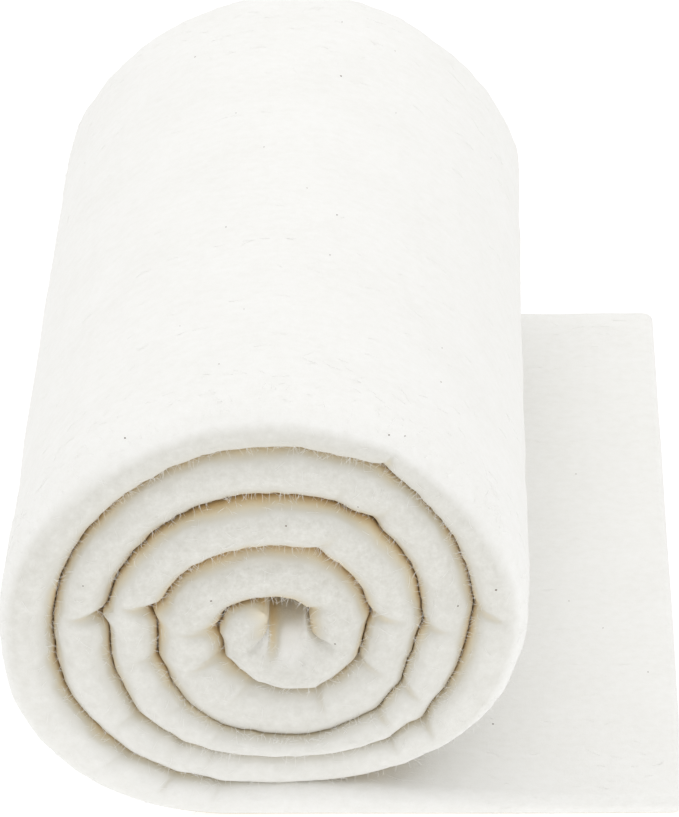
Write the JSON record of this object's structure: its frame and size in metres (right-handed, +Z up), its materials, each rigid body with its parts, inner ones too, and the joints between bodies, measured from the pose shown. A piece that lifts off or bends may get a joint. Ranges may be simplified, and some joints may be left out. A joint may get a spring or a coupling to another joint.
{
  "type": "roll of cotton batting",
  "caption": "Thick soft sheet of natural cotton batting wound into a roll, with its outer end lying flat beside it.",
  "frame": {"origin": "below the middle of the whole piece, flat end included, on the surface it rests on", "axes": "+Z up, +Y along the roll away from the viewer's end, +X towards the flat free end"},
  "size_m": [0.171, 0.26, 0.1182],
  "materials": {
    "batting": "soft, fuzzy needled cotton, natural off-white, fully matte"
  },
  "bodies": {
    "root": {"batting_roll": "batting"}
  },
  "joints": []
}
